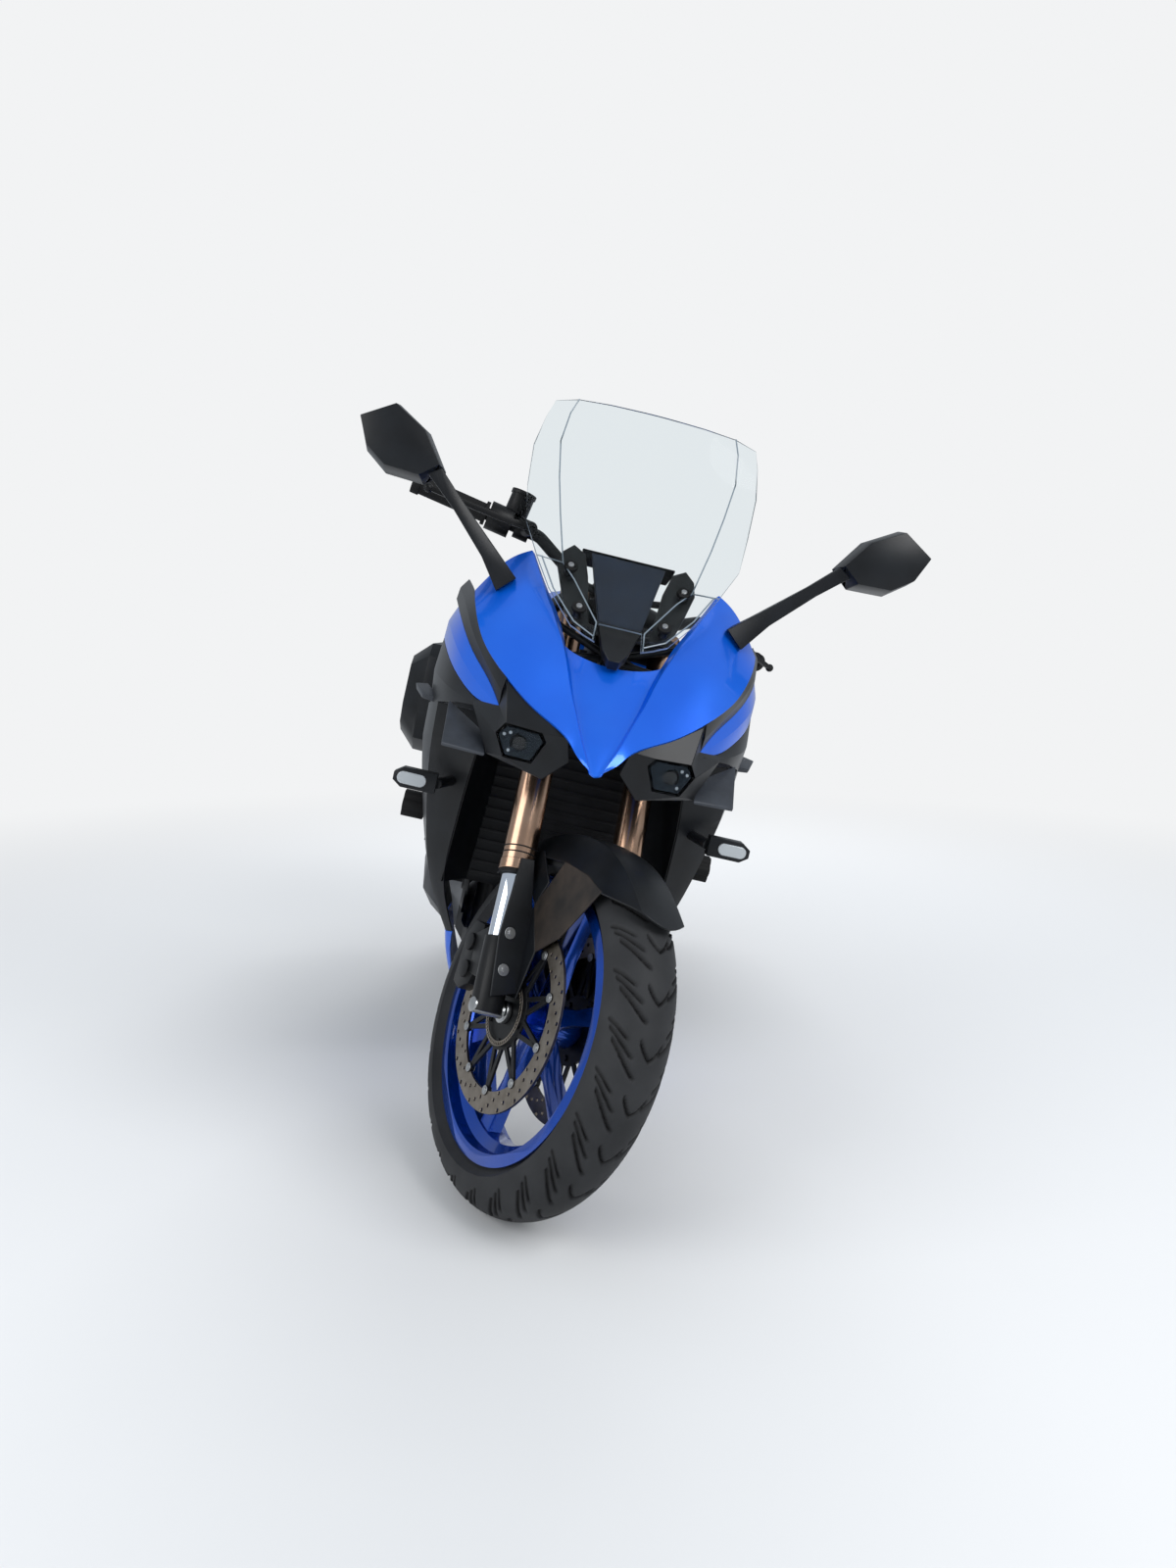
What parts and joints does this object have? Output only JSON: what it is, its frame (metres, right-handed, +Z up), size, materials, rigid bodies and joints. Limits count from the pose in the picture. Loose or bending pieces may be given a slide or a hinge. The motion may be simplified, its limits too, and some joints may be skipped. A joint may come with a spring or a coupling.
{
  "type": "sport touring motorcycle",
  "caption": "Sport touring motorcycle with full fairing, tall screen and hinged side cases, parked leaning on its side stand with the steering on its left stop.",
  "frame": {"origin": "middle of the bounding box, on the ground", "axes": "+X forward, +Y to the machine's left, +Z up; parked, leaning to the left"},
  "size_m": [2.099, 1.0238, 1.3168],
  "materials": {
    "tyre_rubber": "matt",
    "blue_paint": "metallic gloss",
    "disc_steel": "ground",
    "gold_anodised": "anodised",
    "chrome": "polished",
    "clear_screen": "clear",
    "lamp_lens": "clear",
    "red_lens": "gloss",
    "frame_aluminium": "satin",
    "engine_metal": "painted",
    "seat_vinyl": "grained",
    "grip_rubber": "matt",
    "silver_plastic": "satin",
    "black_metal": "satin",
    "black_plastic": "satin"
  },
  "bodies": {
    "chassis": {"frame": "frame_aluminium", "swingarm": "frame_aluminium", "arm_ends": "frame_aluminium", "axle_bolts": "frame_aluminium", "rear_shock": "black_metal", "drive_chain": "disc_steel", "engine": "engine_metal", "engine_covers": "engine_metal", "radiator": "engine_metal", "exhaust_headers": "engine_metal", "muffler": "frame_aluminium", "fuel_tank": "blue_paint", "rider_seat": "seat_vinyl", "pillion_seat": "seat_vinyl", "tail_cowl": "blue_paint", "tail_lamp": "red_lens", "subframe": "black_metal", "grab_rail": "black_metal", "rear_fender": "black_plastic", "turn_signals": "lamp_lens", "side_cases": "black_plastic", "peg_brackets": "black_metal", "pedals": "black_metal", "nose_cowl": "blue_paint", "lamp_housings": "black_plastic", "headlamps": "lamp_lens", "cheek_panels": "black_plastic", "blade_panels": "blue_paint", "side_cowls": "black_plastic", "belly_cowls": "blue_paint", "winglets": "silver_plastic", "windscreen": "clear_screen", "fairing_stay": "black_plastic", "mirrors": "black_plastic", "crash_bobbins": "grip_rubber", "rear_caliper": "black_metal"},
    "steering": {"fork_bottoms": "black_metal", "fork_inner": "chrome", "fork_outer": "gold_anodised", "yokes": "black_metal", "front_axle": "frame_aluminium", "front_calipers": "black_metal", "front_fender": "black_plastic", "handlebar": "black_metal", "grips": "grip_rubber", "controls": "black_metal"},
    "front_wheel": {"front_tyre": "tyre_rubber", "front_rim": "blue_paint", "front_discs": "disc_steel"},
    "rear_wheel": {"rear_tyre": "tyre_rubber", "rear_rim": "blue_paint", "rear_disc": "disc_steel", "rear_sprocket": "disc_steel"},
    "side_stand": {"side_stand": "black_metal"},
    "fuel_cap": {"fuel_cap": "black_plastic"},
    "left_lid": {"case_lid_left": "black_plastic"},
    "right_lid": {"case_lid_right": "black_plastic"}
  },
  "joints": [
    {"name": "steering", "type": "hinge", "parent": "chassis", "child": "steering", "pos_m": [0.51364, -0.04531, 0.75522], "axis": [-0.4171, 0.2023, 0.886], "range_deg": [-53, 0]},
    {"name": "front_wheel_spin", "type": "hinge", "parent": "steering", "child": "front_wheel", "pos_m": [0.77041, -0.13678, 0.28189], "axis": [-0.4068, 0.8302, -0.3811], "continuous": true},
    {"name": "rear_wheel_spin", "type": "hinge", "parent": "chassis", "child": "rear_wheel", "pos_m": [-0.68602, -0.14971, 0.30679], "axis": [-0.0014, 0.9748, -0.2232], "continuous": true},
    {"name": "side_stand_swing", "type": "hinge", "parent": "chassis", "child": "side_stand", "pos_m": [-0.12473, 0.01095, 0.18958], "axis": [0.0028, 0.8904, 0.4553], "range_deg": [0, 92]},
    {"name": "fuel_cap_lift", "type": "hinge", "parent": "chassis", "child": "fuel_cap", "pos_m": [0.1972, 0.00701, 0.98563], "axis": [-0.0014, 0.9748, -0.2232], "range_deg": [0, 100]},
    {"name": "left_lid_fold", "type": "hinge", "parent": "chassis", "child": "left_lid", "pos_m": [-0.68523, 0.20558, 0.43367], "axis": [-1, 0, 0.0062], "range_deg": [0, 80]},
    {"name": "right_lid_fold", "type": "hinge", "parent": "chassis", "child": "right_lid", "pos_m": [-0.68436, -0.41437, 0.57566], "axis": [1, 0, -0.0062], "range_deg": [0, 80]}
  ]
}
